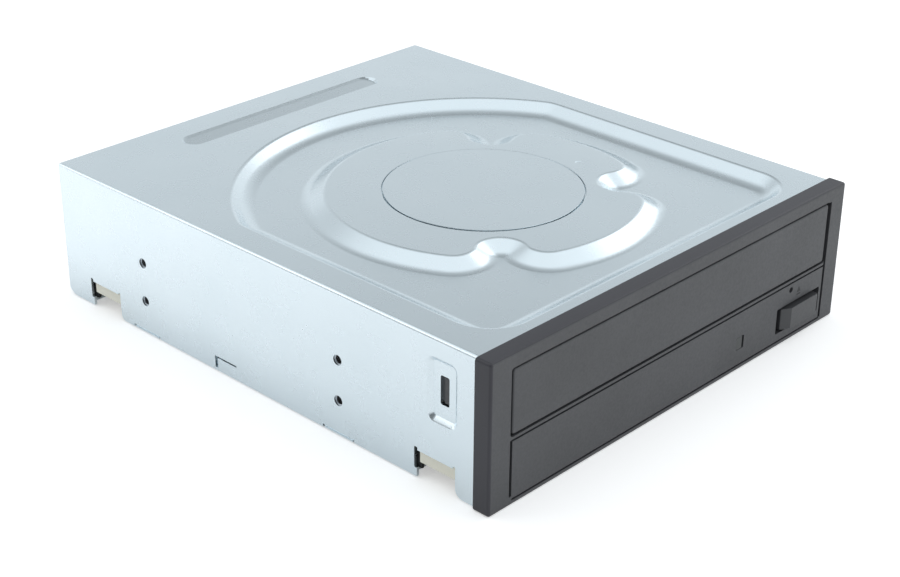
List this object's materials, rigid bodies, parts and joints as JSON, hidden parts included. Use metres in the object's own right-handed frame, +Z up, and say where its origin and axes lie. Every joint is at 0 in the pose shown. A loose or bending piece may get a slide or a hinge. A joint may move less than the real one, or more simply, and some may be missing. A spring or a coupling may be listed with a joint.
{
  "type": "internal dvd writer",
  "caption": "Half-height internal optical disc writer: steel case with pressed top, black bezel, motorised tray, lifting traverse with spindle and laser pickup.",
  "frame": {"origin": "centre of the bounding box's bottom face", "axes": "+Z up, +Y from the front bezel to the rear connectors, +X to the right seen from the front"},
  "size_m": [0.148, 0.172, 0.042],
  "materials": {
    "zinc_steel": "satin zinc-coated sheet",
    "black_plastic": "fine matt black moulding",
    "tray_plastic": "matt black moulding",
    "cream_plastic": "cream moulding",
    "gear_plastic": "white acetal",
    "rubber": "black rubber",
    "steel": "plain steel",
    "board": "green board",
    "chip": "black epoxy",
    "lens": "clear moulding",
    "diecast": "die-cast",
    "magnet": "sintered"
  },
  "bodies": {
    "chassis": {"top_cover": "zinc_steel", "clamper_seal": "zinc_steel", "bottom_cover": "zinc_steel", "case_screw_1": "steel", "case_screw_2": "steel", "case_screw_3": "steel", "case_screw_4": "steel", "front_bezel": "black_plastic", "led_lens": "lens", "main_frame": "cream_plastic", "loading_motor": "steel", "drive_belt": "rubber", "main_pcb": "board", "controller_chip": "chip", "memory_chip": "chip", "motor_driver_chip": "chip", "pickup_connector": "chip", "motor_connector": "chip", "capacitor_1": "steel", "capacitor_2": "steel", "capacitor_3": "steel", "sata_connector": "chip", "front_pcb": "board", "eject_switch": "chip", "indicator_led": "lens"},
    "tray": {"tray": "tray_plastic", "tray_door": "black_plastic"},
    "eject_button": {"eject_button": "black_plastic"},
    "switch_plunger": {"switch_plunger": "gear_plastic"},
    "tray_gear": {"tray_drive_gear": "gear_plastic"},
    "pulley_gear": {"pulley_gear": "gear_plastic"},
    "motor_pulley": {"motor_pulley": "gear_plastic"},
    "lift": {"sub_frame": "black_plastic", "damper_1": "rubber", "damper_2": "rubber", "damper_3": "rubber", "damper_4": "rubber", "damper_screw_1": "steel", "damper_screw_2": "steel", "damper_screw_3": "steel", "damper_screw_4": "steel", "traverse_chassis": "steel", "spindle_stator": "steel", "guide_rod_left": "steel", "guide_rod_right": "steel", "sled_motor": "steel"},
    "cam": {"slide_cam": "gear_plastic"},
    "spindle": {"spindle_rotor": "steel", "turntable": "black_plastic", "turntable_pad": "rubber"},
    "pickup": {"pickup": "diecast", "lead_nut": "gear_plastic"},
    "lead_screw": {"lead_screw": "steel"},
    "lens": {"lens_holder": "black_plastic", "objective_lens": "lens"},
    "clamper": {"clamper": "gear_plastic", "clamper_magnet": "magnet"}
  },
  "joints": [
    {"name": "tray_slide", "type": "slide", "parent": "chassis", "child": "tray", "axis": [0, -1, 0], "range_m": [0, 0.13]},
    {"name": "eject_press", "type": "slide", "parent": "chassis", "child": "eject_button", "axis": [0, 1, 0], "range_m": [0, 0.001], "stiffness_N_per_m": 400, "springref_m": -0.0005},
    {"name": "switch_press", "type": "slide", "parent": "chassis", "child": "switch_plunger", "axis": [0, 1, 0], "range_m": [0, 0.00051]},
    {"name": "tray_gear_spin", "type": "hinge", "parent": "chassis", "child": "tray_gear", "pos_m": [-0.041, -0.0627, 0.0184], "axis": [0, 0, 1], "continuous": true},
    {"name": "pulley_gear_spin", "type": "hinge", "parent": "chassis", "child": "pulley_gear", "pos_m": [-0.025, -0.0627, 0.0164], "axis": [0, 0, 1], "continuous": true},
    {"name": "motor_pulley_spin", "type": "hinge", "parent": "chassis", "child": "motor_pulley", "pos_m": [0.01, -0.0627, 0.0174], "axis": [0, 0, 1], "continuous": true},
    {"name": "lift_tilt", "type": "hinge", "parent": "chassis", "child": "lift", "pos_m": [0, 0.0593, 0.0154], "axis": [1, 0, 0], "range_deg": [0, 4.8]},
    {"name": "cam_slide", "type": "slide", "parent": "chassis", "child": "cam", "axis": [-1, 0, 0], "range_m": [0, 0.01801]},
    {"name": "spindle_spin", "type": "hinge", "parent": "lift", "child": "spindle", "pos_m": [0, -0.0124, 0.0204], "axis": [0, 0, 1], "continuous": true},
    {"name": "pickup_slide", "type": "slide", "parent": "lift", "child": "pickup", "axis": [0, 1, 0], "range_m": [0, 0.036]},
    {"name": "lead_screw_spin", "type": "hinge", "parent": "lift", "child": "lead_screw", "pos_m": [0.0286, 0.0213, 0.0176], "axis": [0, 1, 0], "continuous": true},
    {"name": "lens_focus", "type": "slide", "parent": "pickup", "child": "lens", "axis": [0, 0, 1], "range_m": [-0.0004, 0.0004], "stiffness_N_per_m": 200},
    {"name": "clamper_spin", "type": "hinge", "parent": "chassis", "child": "clamper", "pos_m": [0, -0.0124, 0.0364], "axis": [0, 0, 1], "continuous": true}
  ],
  "couplings": [
    {"joint": "switch_press", "follows": "eject_press", "ratio": 0.5},
    {"joint": "tray_gear_spin", "follows": "tray_slide", "rad_per_m": 100},
    {"joint": "pulley_gear_spin", "follows": "tray_slide", "rad_per_m": -233.33},
    {"joint": "motor_pulley_spin", "follows": "tray_slide", "rad_per_m": -1018.2},
    {"joint": "cam_slide", "follows": "lift_tilt", "m_per_rad": 0.21486},
    {"joint": "lead_screw_spin", "follows": "pickup_slide", "rad_per_m": 2094.4}
  ]
}
